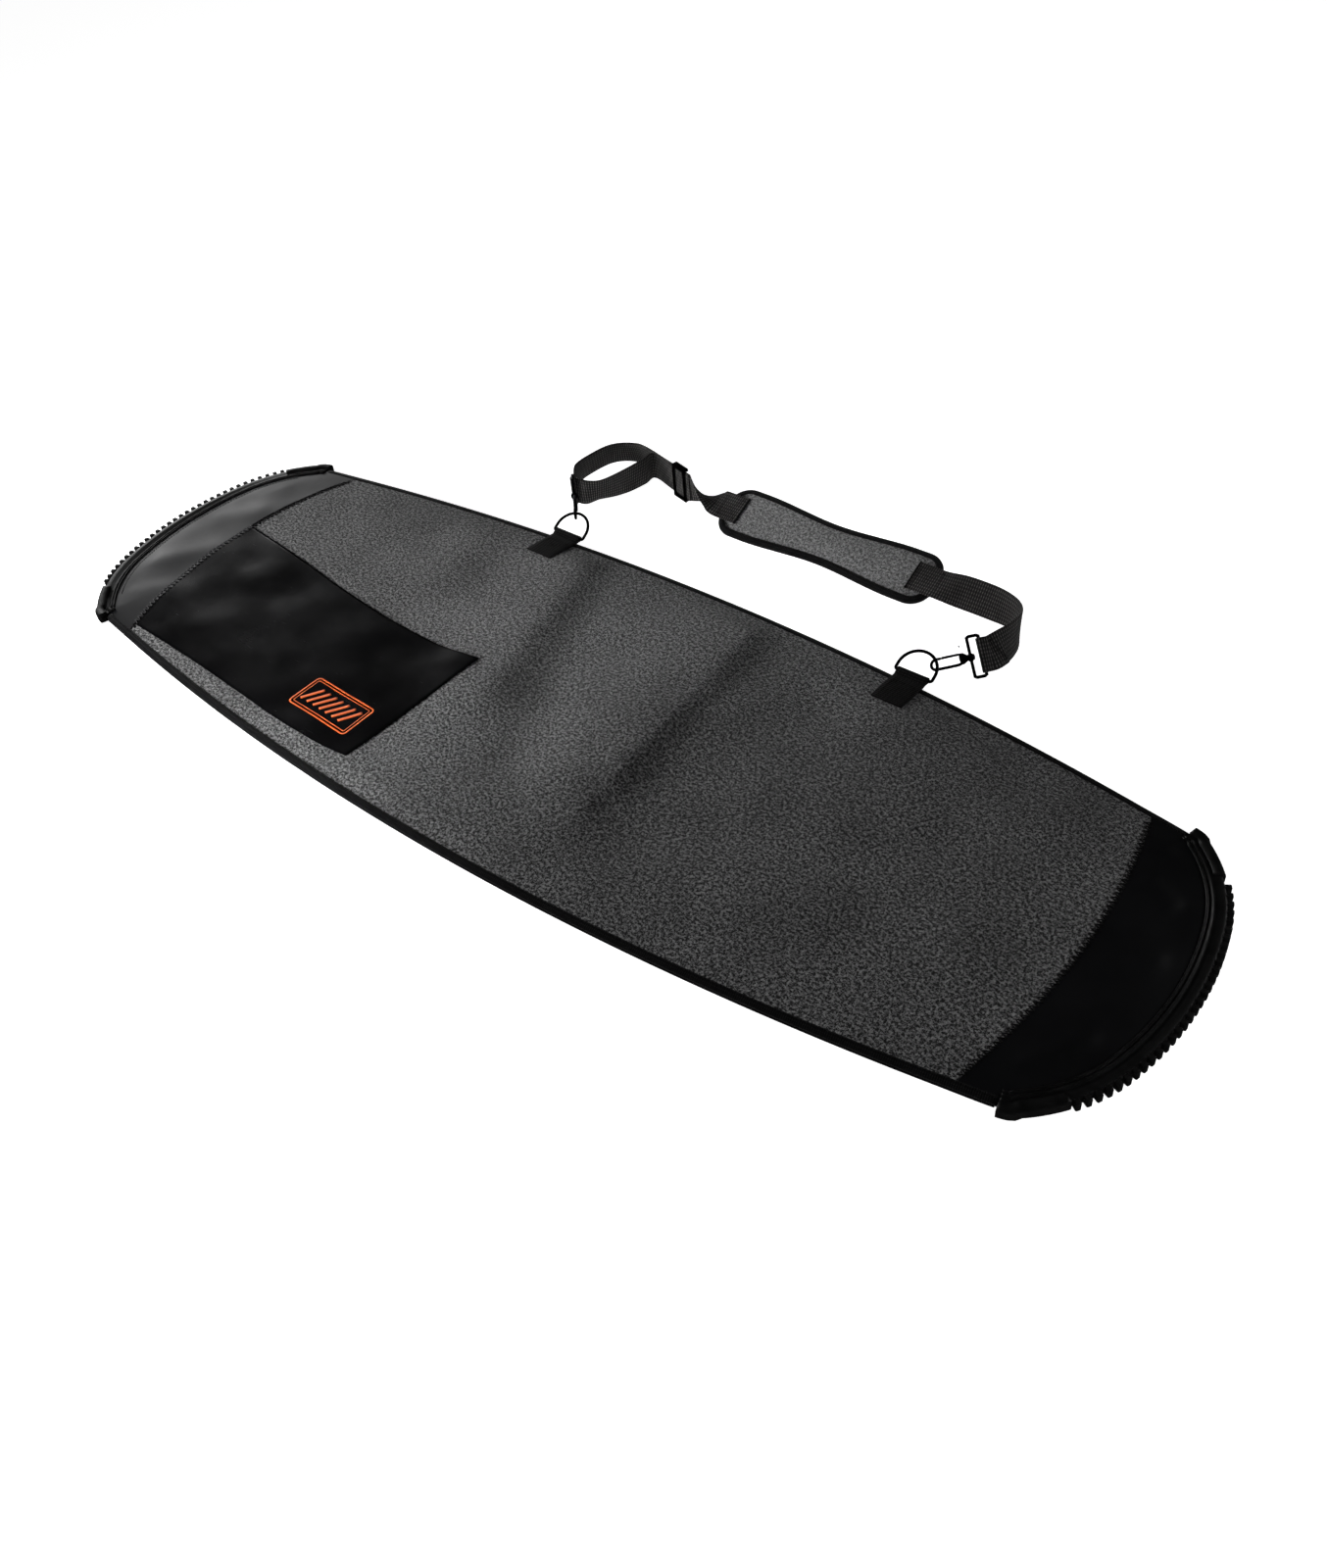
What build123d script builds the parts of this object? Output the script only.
"""Padded board bag with two skid-ribbed ends, a long mouth on its near edge and a clip-on shoulder strap.

Millimetres. The origin is the middle of the underside, on the floor. +X runs along the bag to the tail,
+Y points to the far edge that carries the strap, and +Z is up. The bag lies empty and flat, with its
strap laid out behind it.
"""

import os
from math import cos, radians, sin

from build123d import *

# --- bag shell ---------------------------------------------------------------------------------------
PANEL_REACH = 711  # half length of the panels, without the rubber ends
PANEL_HALF_WIDTH = 248  # half width of the panels at mid length
CORNER_X = 632  # where a long edge meets an end
CORNER_Y = 190
END_POWER = 2.65  # how square the ends are; 2 is an ellipse
PANEL_T = 3  # neoprene with its facing
BOARD_GAP = 8  # room left for the board between the two panels
TOP_Z = 2 * PANEL_T + BOARD_GAP
UNDER_TOP_Z = PANEL_T + BOARD_GAP

NOSE_SEAM = (-572, -612)  # x of the nose seam at the long edges and at its middle
TAIL_SEAM = (585, 613)
SEAM_HALF_SPAN = 210  # a seam's arc is drawn this far to each side, past the long edges
SPARE = 50  # how far a cutting shape reaches past the bag

# --- edge tape and mouth -----------------------------------------------------------------------------
TAPE_T = 2  # edge tape outside the panels
TAPE_LAP = 10  # edge tape turned over the top panel
TAPE_LAP_T = 1
TAPE_END_X = 627  # the tape stops here, where the rubber ends begin
LIP_Y = -212  # fold line of the mouth
FOLD_GAP = 0.3
FOLD_LAP_GAP = 1.3  # the tape on top of the lip stops this far before the fold, so that it clears it open
MOUTH_SPLIT_Z = 6  # top of the lower mouth tape
CLOSURE_HALF_LENGTH = 300
CLOSURE_WIDTH = 20
CLOSURE_Y = -224
HOOK_TAPE_T = 3.4

# --- rubber ends -------------------------------------------------------------------------------------
GUARD_X = 628
GUARD_WALL = 8
GUARD_LAP = 12  # how far the guard reaches over the top panel
GUARD_LAP_T = 1.5
GUARD_RIDGE = 2  # width of each of the two raised lines on the guard, and of the groove between them
GUARD_RIDGE_T = 1
RIB_PITCH = 10
RIB_WIDTH = 5.2
RIB_REACH = 6
RIB_HALF_SPAN = 148  # ribs stop here, and the guard's ends are smooth
RIB_Z = (1, 13)
OVERLAP = 1  # how far a shape reaches into the one that it grows from

# --- patch -------------------------------------------------------------------------------------------
PATCH_T = 0.8
PATCH_CORNERS = [(-620, -183), (-173, -206), (-154, -7), (-640, 38)]  # trimmed at the nose seam
PRINT_CENTRE = (-248, -157)
PRINT_SIZE = (100, 50)
PRINT_TURN = -3.3
PRINT_CORNER_R = 6
PRINT_LINE = 2.4
PRINT_T = 0.2
PRINT_BARS = 7
PRINT_BAR_SIZE = (3.8, 31)
PRINT_BAR_SLANT = -30

# --- strap hardware ----------------------------------------------------------------------------------
WEB_WIDTH = 40
WEB_T = 1.6
WEB_GAP = 0.2  # under webbing that lies on the pad
LIFT_Y = 248  # the axis that both rings and the strap turn about, parallel to X
LIFT_Z = 12.7
WIRE_R = 1.9
RING_HALF = 23.5  # half width of a ring, at the middle of its wire
RING_SHANK = 8  # straight part of a ring's sides
RING_CORNER = 3
TAB_BORE = 2.0
TAB_OUTER = 3.9
TAB_LENGTH = 42  # sewn part of a tab, measured back from the ring
TAB_CORNER_R = 1.5

EYE_HALF = 4.7  # inside of a hook's eye
HANG_GAP = 3.4  # between the end of the eye and the ring's wire, which crosses it at a slant
EYE_LENGTH = 28
HOOK_HALF = 7.9
HOOK_T = 3.2
HOOK_BASE_END = 37
HOOK_BASE_R = 4  # its two rounded corners
CHEEK_SLOT_U = (27, 34)  # the slot between the cheeks, along the hook and across it
CHEEK_SLOT_V = (2.4, 10.4)
GATE_NOSE = 5
GATE_GAP = 0.25
GATE_PIVOT = (30.5, 6.3)
GATE_PIN_R = 0.8
GATE_T = 1.2  # its root, between the cheeks
GATE_WIDTH = 2.6
GATE_ROOT_U = 25  # the root starts here, inside the bar
GATE_BAR_END = 26.5
GATE_ROOT_R = 1.6
SPRING_PLACE = (33.4, 4.9)
SPRING_SIZE = (0.4, 4)
STUD_R = 2.2
STUD_CLEARANCE = 0.08
STUD_HEAD_R = 3.6
STUD_HEAD_T = 1.6
LOOP_NEAR = 40.5  # middle of the swivel loop's near bar, from where the hook hangs
LOOP_FAR = 54.5  # middle of its far bar, which the webbing goes round
LOOP_HALF = 25.5
LOOP_BAR = 4
LOOP_CORNER_R = 3
LOOP_BAR_R = 1.95  # rounding of the far bar
COLLAR_R = 4.6
COLLAR_HALF = 2.5
BAR_TURN_R = 3.1  # middle of the webbing where it goes round a bar

# side: ring x, ring tilt, where the hook hangs on the ring, hook heading, hook rise, lean of the
# swivel loop from upright, turn of the hook in its swivel; angles in degrees
HARDWARE = {
    "left": (-236, 29, 110, 131.7, 0, 0, 0),
    "right": (276, 25, 38, 53.1, -2, 46.6, 36),
}

# --- shoulder pad ------------------------------------------------------------------------------------
PAD_CENTRE = (63, 396, 20)
PAD_TILT = 22
PAD_HALF_LENGTH = 157
PAD_LOBE_X = 112
PAD_LOBE = 35
PAD_WAIST = 28
PAD_END_R = 26
PAD_SKIN_T = 1.2
PAD_FOAM_T = 6.6
PAD_TAPE = 2
PAD_HALF_T = PAD_FOAM_T / 2 + PAD_SKIN_T

# --- strap route: x, y, z of the middle of the webbing and its lean from upright, in degrees ----------
RIGHT_ROUTE = [
    (256, 398, 23, 46),
    (286, 401, 20.5, 36),
    (310, 398, 21, 20),
    (326, 392, 21.5, 10),
    (337, 381, 21.5, 2),
    (341, 366, 21.5, -10),
    (341, 350, 21.5, -22),
    (338, 334, 21, -36),
]
LEFT_ROUTE = [
    (-111, 395, 25.5, 88),
    (-124, 396, 26, 58),
    (-138, 397.5, 26.5, 26),
]
RUN_START = (-152, 399)  # the straight doubled run that the slider moves along
RUN_END = (-226, 419)
RUN_Z = 26.5
STRAND_OFFSET = 0.95
LEFT_SEWN_X = (-66, -100)  # webbing lies on the pad between these
RIGHT_SEWN_X = (187, 226)
FOLD_LENGTH = 30  # webbing turned back and sewn at the right loop
FOLD_START = 6  # its two layers close in on each other between these
FOLD_END = 12
LEFT_BACK_STRAND = [(-258, 424), (-281, 405), (-292, 372), (-301, 343)]
LEFT_FRONT_STRAND = [(-259, 331), (-249, 356), (-243, 382), (-234, 403)]

SLIDER_SHIFT = 20  # how far along the doubled run the slider sits
SLIDER_HALF = 13
SLIDER_BAR = 4
SLIDER_BAR_T = 1.6
SLIDER_END = (20.4, 24.4)  # inner and outer edge of its two end pieces, from the middle
SLIDER_CLEAR = 0.4
SLIDER_CORNER_R = 1.5


# --- outlines ----------------------------------------------------------------------------------------
def end_arcs(side):
    """One blunt end of the panels: a shallow arc at the tip that turns in tighter to both corners."""
    depth = PANEL_REACH - CORNER_X
    shoulder_x = side * (CORNER_X + depth * (1 - 0.5**END_POWER))
    shoulder_y = CORNER_Y / 2
    with BuildLine() as end:
        tip = ThreePointArc((shoulder_x, -shoulder_y), (side * PANEL_REACH, 0), (shoulder_x, shoulder_y))
        TangentArc((shoulder_x, shoulder_y), (side * CORNER_X, CORNER_Y), tangent=tip % 1)
        TangentArc((shoulder_x, -shoulder_y), (side * CORNER_X, -CORNER_Y), tangent=-(tip % 0))
    return end.line


def panel_outline():
    """Edges of the whole panel: two long shallow arcs and two blunt ends."""
    with BuildLine() as outline:
        ThreePointArc((-CORNER_X, CORNER_Y), (0, PANEL_HALF_WIDTH), (CORNER_X, CORNER_Y))
        ThreePointArc((-CORNER_X, -CORNER_Y), (0, -PANEL_HALF_WIDTH), (CORNER_X, -CORNER_Y))
        add(end_arcs(1))
        add(end_arcs(-1))
    return outline.line


def panel_sketch(z, grow=0):
    """The whole panel's face at height z, made larger or smaller by grow."""
    with BuildSketch(Plane.XY.offset(z)) as face:
        with BuildLine():
            add(panel_outline())
        make_face()
        if grow:
            offset(amount=grow)
    return face.sketch


def seam_zone(seam, side):
    """A face that covers everything beyond one seam, towards that end."""
    edge_x, middle_x = seam
    far_x = side * (PANEL_REACH + SPARE)
    reach = PANEL_HALF_WIDTH + SPARE
    with BuildSketch() as zone:
        with BuildLine():
            ThreePointArc((edge_x, -SEAM_HALF_SPAN), (middle_x, 0), (edge_x, SEAM_HALF_SPAN))
            Polyline(
                (edge_x, SEAM_HALF_SPAN),
                (edge_x, reach),
                (far_x, reach),
                (far_x, -reach),
                (edge_x, -reach),
                (edge_x, -SEAM_HALF_SPAN),
            )
        make_face()
    return zone.sketch


def slab_of(face, height):
    """A face made solid, upwards."""
    with BuildPart(mode=Mode.PRIVATE) as slab:
        add(face)
        extrude(amount=height)
    return slab.part


def block(x, y, z):
    """A plain box between limits along X, Y and Z."""
    size = (x[1] - x[0], y[1] - y[0], z[1] - z[0])
    middle = ((x[0] + x[1]) / 2, (y[0] + y[1]) / 2, (z[0] + z[1]) / 2)
    return Pos(*middle) * Box(*size)


ALL = 1000  # beyond the bag in any direction
LIP_BLOCK = block((-ALL, ALL), (-ALL, LIP_Y), (-ALL, ALL))
NEAR_BLOCK = block((-ALL, ALL), (-ALL, 0), (-ALL, ALL))
TAPE_BLOCK = block((-TAPE_END_X, TAPE_END_X), (-ALL, ALL), (-ALL, ALL))
NOSE_ZONE = slab_of(seam_zone(NOSE_SEAM, -1), ALL)
TAIL_ZONE = slab_of(seam_zone(TAIL_SEAM, 1), ALL)


# --- shell panels ------------------------------------------------------------------------------------
with BuildPart() as bottom_panel:
    add(panel_sketch(0))
    extrude(amount=PANEL_T)

with BuildPart() as top_panel:
    add(panel_sketch(UNDER_TOP_Z))
    extrude(amount=PANEL_T)
    add(NOSE_ZONE, mode=Mode.SUBTRACT)
    add(TAIL_ZONE, mode=Mode.SUBTRACT)
    add(LIP_BLOCK, mode=Mode.SUBTRACT)

with BuildPart() as mouth_lip_panel:
    add(panel_sketch(UNDER_TOP_Z))
    extrude(amount=PANEL_T)
    add(LIP_BLOCK.moved(Pos(0, -FOLD_GAP, 0)), mode=Mode.INTERSECT)

with BuildPart() as nose_top_panel:
    add(panel_sketch(UNDER_TOP_Z))
    extrude(amount=PANEL_T)
    add(NOSE_ZONE, mode=Mode.INTERSECT)

with BuildPart() as tail_top_panel:
    add(panel_sketch(UNDER_TOP_Z))
    extrude(amount=PANEL_T)
    add(TAIL_ZONE, mode=Mode.INTERSECT)


# --- edge tape ---------------------------------------------------------------------------------------
def tape_wall(low, high):
    """The tape's outer wall, all round the panels, between two heights."""
    with BuildPart(mode=Mode.PRIVATE) as wall:
        add(slab_of(panel_sketch(low, TAPE_T), high - low))
        add(slab_of(panel_sketch(low), high - low), mode=Mode.SUBTRACT)
    return wall.part


def tape_lap():
    """The strip of tape turned over the top panel, all round."""
    with BuildPart(mode=Mode.PRIVATE) as lap:
        add(slab_of(panel_sketch(TOP_Z, TAPE_T), TAPE_LAP_T))
        add(slab_of(panel_sketch(TOP_Z, -TAPE_LAP), TAPE_LAP_T), mode=Mode.SUBTRACT)
    return lap.part


LAP = tape_lap()
LIP_LAP = LAP & LIP_BLOCK.moved(Pos(0, -FOLD_LAP_GAP, 0))
UPPER_WALL = tape_wall(MOUTH_SPLIT_Z + FOLD_GAP, TOP_Z)

with BuildPart() as far_binding:
    add(tape_wall(0, TOP_Z))
    add(LAP)
    add(TAPE_BLOCK, mode=Mode.INTERSECT)
    add(NEAR_BLOCK, mode=Mode.SUBTRACT)

with BuildPart() as lower_mouth_binding:
    add(tape_wall(0, MOUTH_SPLIT_Z))
    add(TAPE_BLOCK, mode=Mode.INTERSECT)
    add(NEAR_BLOCK, mode=Mode.INTERSECT)

with BuildPart() as upper_mouth_binding:
    add(UPPER_WALL)
    add(LIP_BLOCK.moved(Pos(0, -FOLD_GAP, 0)), mode=Mode.INTERSECT)
    add(LIP_LAP)

with BuildPart() as mouth_binding_ends:
    add(UPPER_WALL)
    add(LAP)
    add(TAPE_BLOCK, mode=Mode.INTERSECT)
    add(NEAR_BLOCK, mode=Mode.INTERSECT)
    add(LIP_BLOCK, mode=Mode.SUBTRACT)

with BuildPart() as hook_tape:
    with BuildSketch(Plane.XY.offset(PANEL_T)):
        with Locations((0, CLOSURE_Y)):
            Rectangle(2 * CLOSURE_HALF_LENGTH, CLOSURE_WIDTH)
    extrude(amount=HOOK_TAPE_T)

with BuildPart() as loop_tape:
    with BuildSketch(Plane.XY.offset(UNDER_TOP_Z)):
        with Locations((0, CLOSURE_Y)):
            Rectangle(2 * CLOSURE_HALF_LENGTH, CLOSURE_WIDTH)
    extrude(amount=-(BOARD_GAP - HOOK_TAPE_T - FOLD_GAP))


# --- rubber ends -------------------------------------------------------------------------------------
def rib_places(side):
    """Where the ribs stand on the guard's outer face, one pitch apart: each one's middle and turn."""
    edge = Wire(end_arcs(side).edges())
    count = int(edge.length / RIB_PITCH)
    start = (edge.length - count * RIB_PITCH) / 2
    places = []
    for i in range(count + 1):
        along = (start + i * RIB_PITCH) / edge.length
        point = edge @ along
        tangent = edge % along
        out = Vector(tangent.Y, -tangent.X, 0)
        if out.X * side < 0:
            out = -out
        if abs(point.Y) < RIB_HALF_SPAN:
            middle = point + out * (GUARD_WALL + (RIB_REACH - OVERLAP) / 2)
            turn = Vector(1, 0, 0).get_signed_angle(out, Vector(0, 0, 1))
            places.append(Location((middle.X, middle.Y), turn))
    return places


def guard(side):
    """One moulded rubber end: a wall round the panels' end, a lap over the top with two raised lines,
    and ribs that stand out."""
    limit = (GUARD_X, ALL) if side > 0 else (-ALL, -GUARD_X)
    outer = panel_sketch(0, GUARD_WALL)
    lap_z = TOP_Z + GUARD_LAP_T
    with BuildPart() as body:
        add(slab_of(outer, TOP_Z))
        add(slab_of(panel_sketch(0), TOP_Z), mode=Mode.SUBTRACT)
        add(slab_of(panel_sketch(TOP_Z, GUARD_WALL), GUARD_LAP_T))
        for outside in (-GUARD_LAP + GUARD_RIDGE, -GUARD_LAP + 3 * GUARD_RIDGE):
            add(slab_of(panel_sketch(lap_z, outside), GUARD_RIDGE_T))
            inside = outside - GUARD_RIDGE
            add(slab_of(panel_sketch(lap_z, inside), GUARD_RIDGE_T), mode=Mode.SUBTRACT)
        add(slab_of(panel_sketch(TOP_Z, -GUARD_LAP), GUARD_LAP_T), mode=Mode.SUBTRACT)
        add(block(limit, (-ALL, ALL), (-ALL, ALL)), mode=Mode.INTERSECT)
        with BuildSketch(Plane.XY.offset(RIB_Z[0])):
            with Locations(*rib_places(side)):
                Rectangle(RIB_REACH + OVERLAP, RIB_WIDTH)
        extrude(amount=RIB_Z[1] - RIB_Z[0])
    return body


nose_guard = guard(-1)
tail_guard = guard(1)


# --- patch and its print -----------------------------------------------------------------------------
with BuildPart() as vinyl_patch:
    with BuildSketch(Plane.XY.offset(TOP_Z)):
        with BuildLine():
            Polyline(*PATCH_CORNERS, close=True)
        make_face()
    extrude(amount=PATCH_T)
    add(NOSE_ZONE, mode=Mode.SUBTRACT)

print_plane = Plane(
    origin=(*PRINT_CENTRE, TOP_Z + PATCH_T),
    x_dir=(cos(radians(PRINT_TURN)), sin(radians(PRINT_TURN)), 0),
    z_dir=(0, 0, 1),
)
with BuildPart() as patch_print:
    with BuildSketch(print_plane):
        RectangleRounded(*PRINT_SIZE, PRINT_CORNER_R)
        offset(amount=-PRINT_LINE, mode=Mode.SUBTRACT)
        with GridLocations(PRINT_SIZE[0] / (PRINT_BARS + 1), 0, PRINT_BARS, 1):
            Rectangle(*PRINT_BAR_SIZE, rotation=PRINT_BAR_SLANT)
    extrude(amount=PRINT_T)


# --- strap hardware ----------------------------------------------------------------------------------
def ring_plane(side):
    """The plane of a ring: its X runs along the ring's bar, its Y away from the bag."""
    ring_x, tilt = HARDWARE[side][:2]
    normal = (0, -sin(radians(tilt)), cos(radians(tilt)))
    return Plane(origin=(ring_x, LIFT_Y, LIFT_Z), x_dir=(1, 0, 0), z_dir=normal)


def hang_point(side):
    """The middle of the ring's wire, where the hook hangs on it."""
    angle = radians(HARDWARE[side][2])
    return ring_plane(side).from_local_coords(
        Vector(RING_HALF * cos(angle), RING_SHANK + RING_HALF * sin(angle), 0)
    )


def across(direction, lean):
    """The way across a strap that runs along direction and leans by that angle from upright,
    towards the left of its run."""
    left = Vector(0, 0, 1).cross(direction).normalized()
    up = direction.cross(left)
    return up * cos(radians(lean)) + left * sin(radians(lean))


def loop_plane(side):
    """The plane of a swivel loop: its X runs from the ring to the strap, its Y along the bar."""
    heading, rise, lean = [radians(a) for a in HARDWARE[side][3:6]]
    axis = Vector(cos(heading) * cos(rise), sin(heading) * cos(rise), sin(rise))
    width = across(axis, HARDWARE[side][5])
    return Plane(origin=hang_point(side), x_dir=axis, z_dir=axis.cross(width))


def hook_plane(side):
    """The plane of a hook, turned in its swivel."""
    return loop_plane(side).rotated((HARDWARE[side][6], 0, 0))


def d_ring(side):
    """A bent wire ring with a straight bar."""
    plane = ring_plane(side)
    top = RING_SHANK + RING_HALF
    with BuildPart() as ring:
        with BuildLine(plane) as path:
            ThreePointArc((-RING_HALF, RING_SHANK), (0, top), (RING_HALF, RING_SHANK))
            Line((RING_HALF, RING_SHANK), (RING_HALF, RING_CORNER))
            RadiusArc((RING_HALF, RING_CORNER), (RING_HALF - RING_CORNER, 0), RING_CORNER)
            Line((RING_HALF - RING_CORNER, 0), (-RING_HALF + RING_CORNER, 0))
            RadiusArc((-RING_HALF + RING_CORNER, 0), (-RING_HALF, RING_CORNER), RING_CORNER)
            Line((-RING_HALF, RING_CORNER), (-RING_HALF, RING_SHANK))
        with BuildSketch(Plane(origin=path.wire() @ 0, z_dir=path.wire() % 0)):
            Circle(WIRE_R)
        sweep()
    return ring


def ring_tab(side):
    """A webbing tab sewn on the top panel, folded round the ring's bar."""
    ring_x = HARDWARE[side][0]
    half = WEB_WIDTH / 2
    with BuildPart() as tab:
        with BuildSketch(Plane(origin=(ring_x, LIFT_Y, LIFT_Z), x_dir=(0, 1, 0), z_dir=(1, 0, 0))):
            Circle(TAB_OUTER)
            with Locations((-TAB_LENGTH / 2, TAB_OUTER - WEB_T / 2)):
                Rectangle(TAB_LENGTH, WEB_T)
            Circle(TAB_BORE, mode=Mode.SUBTRACT)
        extrude(amount=half, both=True)
        edges = tab.edges().filter_by(Axis.Z).group_by(Axis.Y)[0]
        fillet(edges, TAB_CORNER_R)
    return tab


def swivel_loop(side):
    """The frame that the webbing goes round, with the collar that the hook's stud turns in."""
    plane = loop_plane(side)
    middle = (LOOP_NEAR + LOOP_FAR) / 2
    length = LOOP_FAR - LOOP_NEAR + LOOP_BAR
    with BuildPart() as frame:
        with BuildSketch(plane):
            with Locations((middle, 0)):
                RectangleRounded(length, 2 * LOOP_HALF, LOOP_CORNER_R)
                Rectangle(length - 2 * LOOP_BAR, 2 * (LOOP_HALF - LOOP_BAR), mode=Mode.SUBTRACT)
        extrude(amount=LOOP_BAR / 2, both=True)
        bar_edges = frame.edges().filter_by(Axis(plane.origin, plane.y_dir))
        far_edges = bar_edges.sort_by(Axis(plane.origin, plane.x_dir))[-4:]
        fillet(far_edges, LOOP_BAR_R)
        with BuildSketch(Plane(origin=plane.from_local_coords((LOOP_NEAR, 0, 0)), z_dir=plane.x_dir)):
            Circle(COLLAR_R)
        extrude(amount=COLLAR_HALF, both=True)
        with BuildSketch(Plane(origin=plane.from_local_coords((LOOP_NEAR, 0, 0)), z_dir=plane.x_dir)):
            Circle(STUD_R + STUD_CLEARANCE)
        extrude(amount=COLLAR_HALF, both=True, mode=Mode.SUBTRACT)
    return frame


def hook(side):
    """A cast hook with a long eye, two cheeks for the gate and the stud that turns in the swivel."""
    plane = hook_plane(side)
    head_start = LOOP_NEAR + COLLAR_HALF + GATE_GAP
    eye_start = EYE_HALF - WIRE_R - HANG_GAP
    with BuildPart() as body:
        with BuildSketch(plane):
            with Locations((eye_start, 0)):
                Circle(HOOK_HALF)
                Circle(EYE_HALF, mode=Mode.SUBTRACT)
            with Locations(((eye_start + HOOK_BASE_END) / 2, 0)):
                Rectangle(HOOK_BASE_END - eye_start, 2 * HOOK_HALF)
            with Locations(((eye_start + EYE_LENGTH) / 2, 0)):
                Rectangle(EYE_LENGTH - eye_start, 2 * EYE_HALF, mode=Mode.SUBTRACT)
            with Locations(((GATE_NOSE + EYE_LENGTH) / 2, HOOK_HALF)):
                Rectangle(EYE_LENGTH - GATE_NOSE, 2 * (HOOK_HALF - EYE_HALF), mode=Mode.SUBTRACT)
        extrude(amount=HOOK_T / 2, both=True)
        base_corners = body.edges().filter_by(Axis(plane.origin, plane.z_dir))
        fillet(base_corners.sort_by(Axis(plane.origin, plane.x_dir))[-2:], HOOK_BASE_R)
        slot_half = GATE_T / 2 + GATE_GAP
        with BuildSketch(plane):
            with Locations((sum(CHEEK_SLOT_U) / 2, sum(CHEEK_SLOT_V) / 2)):
                Rectangle(CHEEK_SLOT_U[1] - CHEEK_SLOT_U[0], CHEEK_SLOT_V[1] - CHEEK_SLOT_V[0])
        extrude(amount=slot_half, both=True, mode=Mode.SUBTRACT)
        with BuildSketch(plane.offset(-HOOK_T / 2)):
            with Locations(GATE_PIVOT):
                Circle(GATE_PIN_R)
        extrude(amount=HOOK_T, mode=Mode.SUBTRACT)
        stud_start = HOOK_BASE_END - OVERLAP
        with BuildSketch(Plane(origin=plane.from_local_coords((stud_start, 0, 0)), z_dir=plane.x_dir)):
            Circle(STUD_R)
        extrude(amount=head_start - stud_start)
        with BuildSketch(Plane(origin=plane.from_local_coords((head_start, 0, 0)), z_dir=plane.x_dir)):
            Circle(STUD_HEAD_R)
        extrude(amount=STUD_HEAD_T)
    return body


def gate(side):
    """The sprung bar that closes a hook's eye, with a bored root between the hook's cheeks."""
    plane = hook_plane(side)
    pivot_u, pivot_v = GATE_PIVOT
    tip = GATE_NOSE + GATE_GAP
    bar_v = HOOK_HALF - GATE_WIDTH / 2
    with BuildPart() as bar:
        with BuildSketch(plane):
            with Locations(((tip + GATE_BAR_END) / 2, bar_v)):
                Rectangle(GATE_BAR_END - tip, GATE_WIDTH)
        extrude(amount=HOOK_T / 2, both=True)
        with BuildSketch(plane):
            with Locations(((GATE_ROOT_U + pivot_u) / 2, bar_v)):
                Rectangle(pivot_u - GATE_ROOT_U, GATE_WIDTH)
            with Locations((pivot_u, pivot_v)):
                Circle(GATE_ROOT_R)
        extrude(amount=GATE_T / 2, both=True)
        with BuildSketch(plane):
            with Locations((pivot_u, pivot_v)):
                Circle(GATE_PIN_R + STUD_CLEARANCE)
        extrude(amount=GATE_T, both=True, mode=Mode.SUBTRACT)
    return bar


def gate_pin(side):
    """The pin through a hook's cheeks and its gate."""
    with BuildPart() as pin:
        with BuildSketch(hook_plane(side).offset(-HOOK_T / 2)):
            with Locations(GATE_PIVOT):
                Circle(GATE_PIN_R)
        extrude(amount=HOOK_T)
    return pin


def gate_spring(side):
    """The leaf that holds a gate shut, in the slot between the cheeks."""
    with BuildPart() as leaf:
        with BuildSketch(hook_plane(side)):
            with Locations(SPRING_PLACE):
                Rectangle(*SPRING_SIZE)
        extrude(amount=GATE_T / 2, both=True)
    return leaf


# --- shoulder pad ------------------------------------------------------------------------------------
pad_plane = Plane(
    origin=PAD_CENTRE,
    x_dir=(1, 0, 0),
    z_dir=(0, -sin(radians(PAD_TILT)), cos(radians(PAD_TILT))),
)


def pad_sketch(grow=0):
    """The pad's dog-bone outline, made larger by grow."""
    lobe = PAD_LOBE + grow
    with BuildSketch() as face:
        with BuildLine():
            for s in (1, -1):
                Spline(
                    (-PAD_LOBE_X, s * lobe),
                    (0, s * (PAD_WAIST + grow)),
                    (PAD_LOBE_X, s * lobe),
                    tangents=((1, 0), (1, 0)),
                )
                ThreePointArc(
                    (s * PAD_LOBE_X, -lobe),
                    (s * (PAD_HALF_LENGTH + grow), 0),
                    (s * PAD_LOBE_X, lobe),
                )
        make_face()
        fillet(face.vertices(), PAD_END_R + grow)
    return face.sketch


def pad_layer(low, high, grow=0):
    """One layer of the pad, between two distances from its middle plane."""
    with BuildPart(mode=Mode.PRIVATE) as layer:
        with BuildSketch(pad_plane.offset(low)):
            add(pad_sketch(grow))
        extrude(amount=high - low)
    return layer.part


with BuildPart() as pad_base:
    add(pad_layer(-PAD_HALF_T, -PAD_FOAM_T / 2))

with BuildPart() as pad_foam:
    add(pad_layer(-PAD_FOAM_T / 2, PAD_FOAM_T / 2))

with BuildPart() as pad_cover:
    add(pad_layer(PAD_FOAM_T / 2, PAD_HALF_T))

with BuildPart() as pad_binding:
    add(pad_layer(-PAD_HALF_T, PAD_HALF_T, PAD_TAPE))
    add(pad_layer(-PAD_HALF_T, PAD_HALF_T), mode=Mode.SUBTRACT)


# --- webbing -----------------------------------------------------------------------------------------
def on_pad(x):
    """The middle of webbing that lies on the pad, at that x."""
    return pad_plane.from_local_coords((x - PAD_CENTRE[0], 0, PAD_HALF_T + WEB_GAP + WEB_T / 2))


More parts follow.
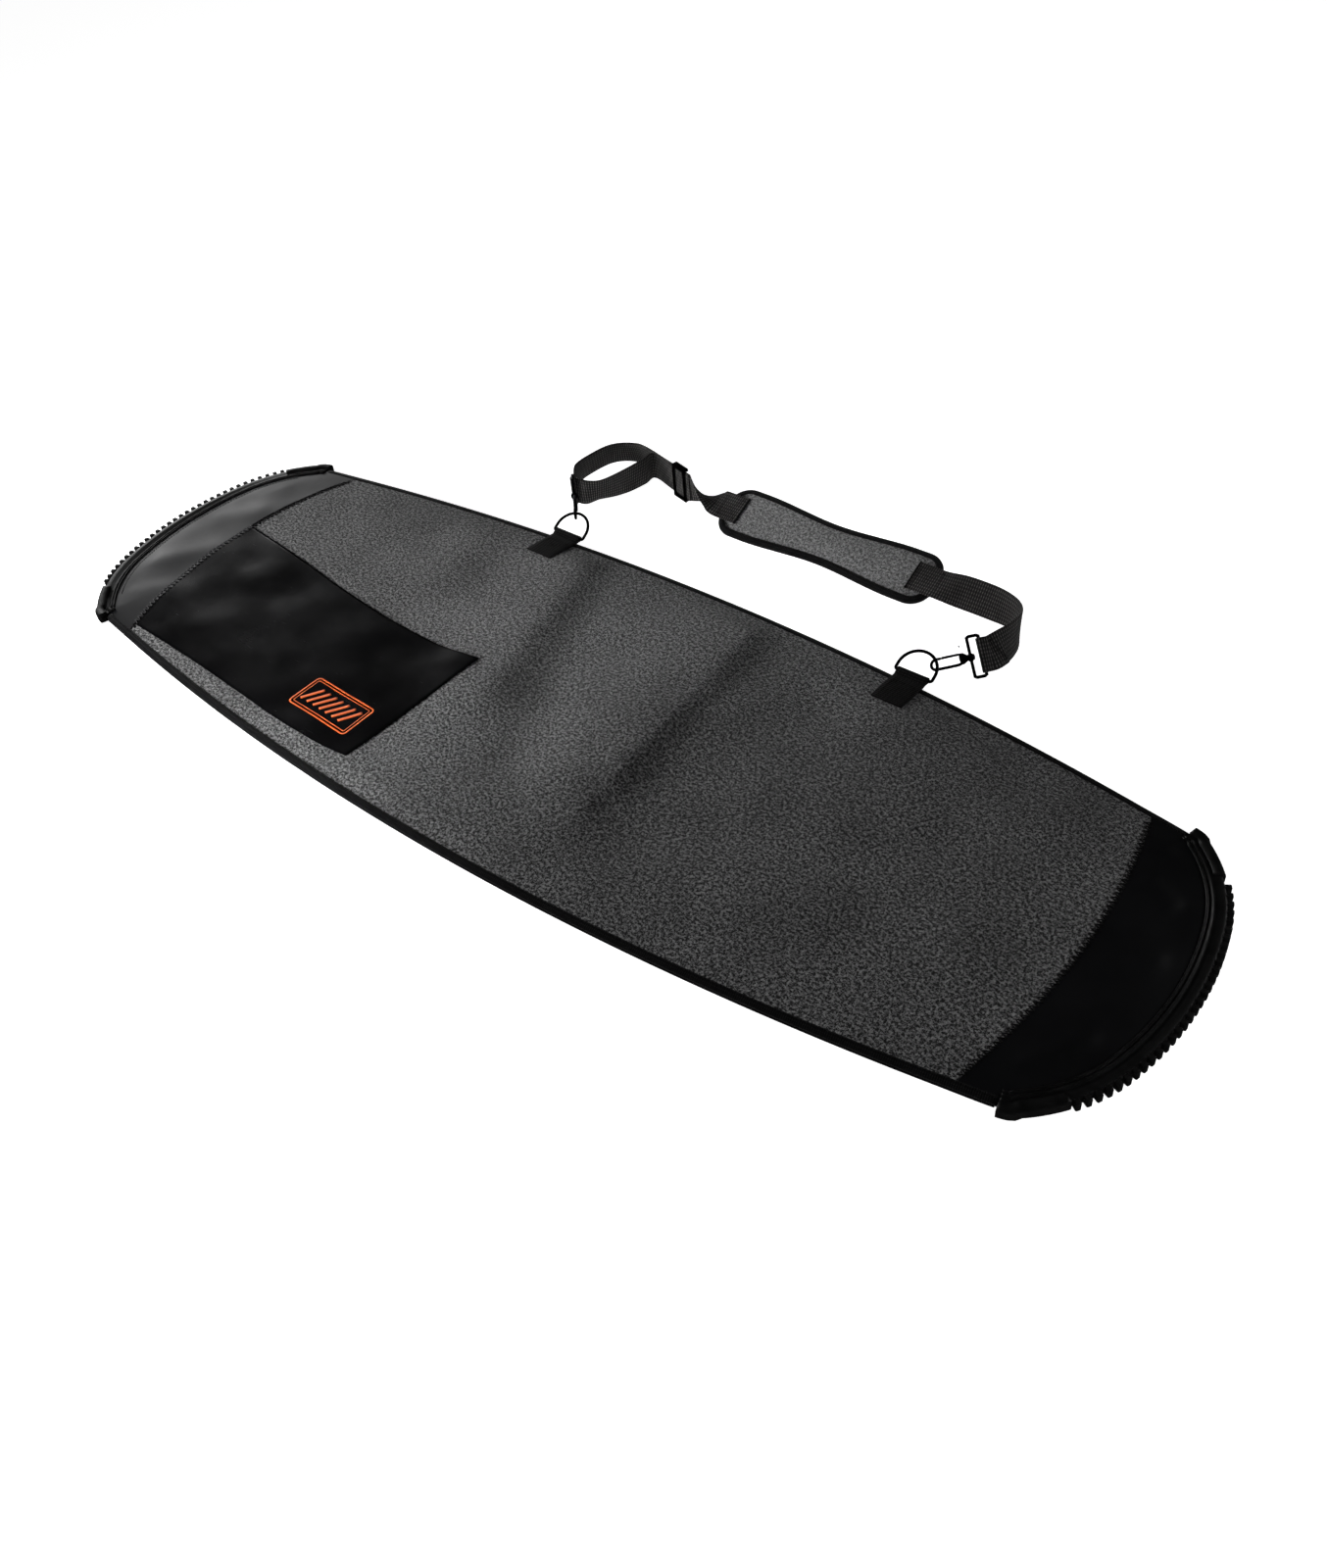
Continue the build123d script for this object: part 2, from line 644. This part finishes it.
def ribbon(stations):
    """Flat webbing through stations of (middle, direction, lean), straight from one to the next."""
    with BuildPart() as strip:
        for middle, direction, lean in stations:
            with BuildSketch(Plane(origin=middle, x_dir=across(direction, lean), z_dir=direction)):
                Rectangle(WEB_WIDTH, WEB_T)
        loft(ruled=True)
    return strip.part


def stations_through(points, leans, first, last):
    """Stations at points, each facing halfway between the runs on its two sides."""
    runs = [(b - a).normalized() for a, b in zip(points, points[1:])]
    directions = [first]
    for before, after in zip(runs, runs[1:]):
        directions.append((before + after).normalized())
    directions.append(last)
    return list(zip(points, directions, leans))


right_loop = loop_plane("right")
right_bar_plane = Plane(
    origin=right_loop.from_local_coords((LOOP_FAR, 0, 0)),
    x_dir=right_loop.x_dir,
    z_dir=right_loop.y_dir,
)
right_route = [on_pad(RIGHT_SEWN_X[0]), on_pad(RIGHT_SEWN_X[1])]
right_route += [Vector(*stop[:3]) for stop in RIGHT_ROUTE]
right_route += [right_bar_plane.from_local_coords((FOLD_END - OVERLAP / 2, -STRAND_OFFSET, 0))]
right_leans = 2 * [90 - PAD_TILT] + [stop[3] for stop in RIGHT_ROUTE] + [-HARDWARE["right"][5]]

with BuildPart() as right_webbing:
    with BuildSketch(right_bar_plane):
        with BuildLine() as fold_path:
            Polyline((FOLD_LENGTH, STRAND_OFFSET), (FOLD_START, BAR_TURN_R), (0, BAR_TURN_R))
            ThreePointArc((0, BAR_TURN_R), (-BAR_TURN_R, 0), (0, -BAR_TURN_R))
            Polyline((0, -BAR_TURN_R), (FOLD_START, -BAR_TURN_R), (FOLD_END, -STRAND_OFFSET))
        trace(fold_path.line, WEB_T)
    extrude(amount=WEB_WIDTH / 2, both=True)
    add(
        ribbon(
            stations_through(
                right_route,
                right_leans,
                Vector(1, 0, 0),
                -right_loop.x_dir,
            )
        )
    )

run_start = Vector(*RUN_START, RUN_Z)
run_end = Vector(*RUN_END, RUN_Z)
run_heading = (run_end - run_start).normalized()
run_front = Vector(0, 0, 1).cross(run_heading)
left_bar = loop_plane("left").from_local_coords((LOOP_FAR, 0, 0))


def round_bar(corner, direction):
    """Where webbing that passes corner in that direction meets the turn round the left bar."""
    heading = Vector(*direction, 0).normalized()
    return corner + Vector(heading.Y, -heading.X, 0) * BAR_TURN_R


def flat(point):
    """A point's X and Y."""
    return (point.X, point.Y)


back_last = Vector(*LEFT_BACK_STRAND[-1])
front_first = Vector(*LEFT_FRONT_STRAND[0])
heading_in = flat((Vector(*flat(left_bar)) - back_last).normalized())
heading_out = flat((front_first - Vector(*flat(left_bar))).normalized())
turn_in = round_bar(left_bar, heading_in)
turn_out = round_bar(left_bar, heading_out)
turn_middle = round_bar(left_bar, flat(Vector(*heading_in) + Vector(*heading_out)))
back_start = run_start - run_front * STRAND_OFFSET
back_end = run_end - run_front * STRAND_OFFSET
front_start = run_start + run_front * STRAND_OFFSET
front_end = run_end + run_front * STRAND_OFFSET
left_route = [on_pad(LEFT_SEWN_X[0]), on_pad(LEFT_SEWN_X[1])]
left_route += [Vector(*stop[:3]) for stop in LEFT_ROUTE] + [back_start]
left_leans = 2 * [90 + PAD_TILT] + [stop[3] for stop in LEFT_ROUTE] + [0]

with BuildPart() as left_webbing:
    with BuildSketch(Plane.XY.offset(RUN_Z - WEB_WIDTH / 2)):
        with BuildLine() as loop_path:
            Line(flat(back_start), flat(back_end))
            Spline(
                flat(back_end),
                *LEFT_BACK_STRAND,
                flat(turn_in),
                tangents=(flat(run_heading), heading_in),
            )
            ThreePointArc(flat(turn_in), flat(turn_middle), flat(turn_out))
            Spline(
                flat(turn_out),
                *LEFT_FRONT_STRAND,
                flat(front_end),
                tangents=(heading_out, flat(-run_heading)),
            )
            Line(flat(front_end), flat(front_start))
        trace(loop_path.line, WEB_T)
    extrude(amount=WEB_WIDTH)
    add(
        ribbon(
            stations_through(
                left_route,
                left_leans,
                Vector(-1, 0, 0),
                run_heading,
            )
        )
    )

slider_plane = Plane(
    origin=run_start + run_heading * SLIDER_SHIFT,
    x_dir=run_heading,
    z_dir=run_front,
)
stack = STRAND_OFFSET + WEB_T / 2 + SLIDER_CLEAR
with BuildPart() as tri_glide:
    with BuildSketch(slider_plane.offset(stack)):
        with Locations((-SLIDER_HALF + SLIDER_BAR / 2, 0), (SLIDER_HALF - SLIDER_BAR / 2, 0)):
            Rectangle(SLIDER_BAR, 2 * SLIDER_END[1])
    extrude(amount=SLIDER_BAR_T)
    with BuildSketch(slider_plane.offset(-stack)):
        Rectangle(SLIDER_BAR, 2 * SLIDER_END[1])
    extrude(amount=-SLIDER_BAR_T)
    with BuildSketch(slider_plane):
        end_width = SLIDER_END[1] - SLIDER_END[0]
        with GridLocations(0, SLIDER_END[0] + SLIDER_END[1], 1, 2):
            RectangleRounded(2 * SLIDER_HALF, end_width, SLIDER_CORNER_R)
    extrude(amount=stack + SLIDER_BAR_T, both=True)


# --- write every piece -------------------------------------------------------------------------------
pieces = {
    "bottom_panel": bottom_panel,
    "top_panel": top_panel,
    "mouth_lip_panel": mouth_lip_panel,
    "nose_top_panel": nose_top_panel,
    "tail_top_panel": tail_top_panel,
    "far_binding": far_binding,
    "lower_mouth_binding": lower_mouth_binding,
    "upper_mouth_binding": upper_mouth_binding,
    "mouth_binding_ends": mouth_binding_ends,
    "hook_tape": hook_tape,
    "loop_tape": loop_tape,
    "nose_guard": nose_guard,
    "tail_guard": tail_guard,
    "vinyl_patch": vinyl_patch,
    "patch_print": patch_print,
    "pad_base": pad_base,
    "pad_foam": pad_foam,
    "pad_cover": pad_cover,
    "pad_binding": pad_binding,
    "left_webbing": left_webbing,
    "right_webbing": right_webbing,
    "tri_glide": tri_glide,
}
for side in HARDWARE:
    pieces[side + "_ring_tab"] = ring_tab(side)
    pieces[side + "_d_ring"] = d_ring(side)
    pieces[side + "_swivel_loop"] = swivel_loop(side)
    pieces[side + "_hook"] = hook(side)
    pieces[side + "_gate"] = gate(side)
    pieces[side + "_gate_pin"] = gate_pin(side)
    pieces[side + "_gate_spring"] = gate_spring(side)

os.makedirs("parts", exist_ok=True)
for node, piece in pieces.items():
    piece.part.label = node
    export_step(piece.part, f"parts/{node}.step")
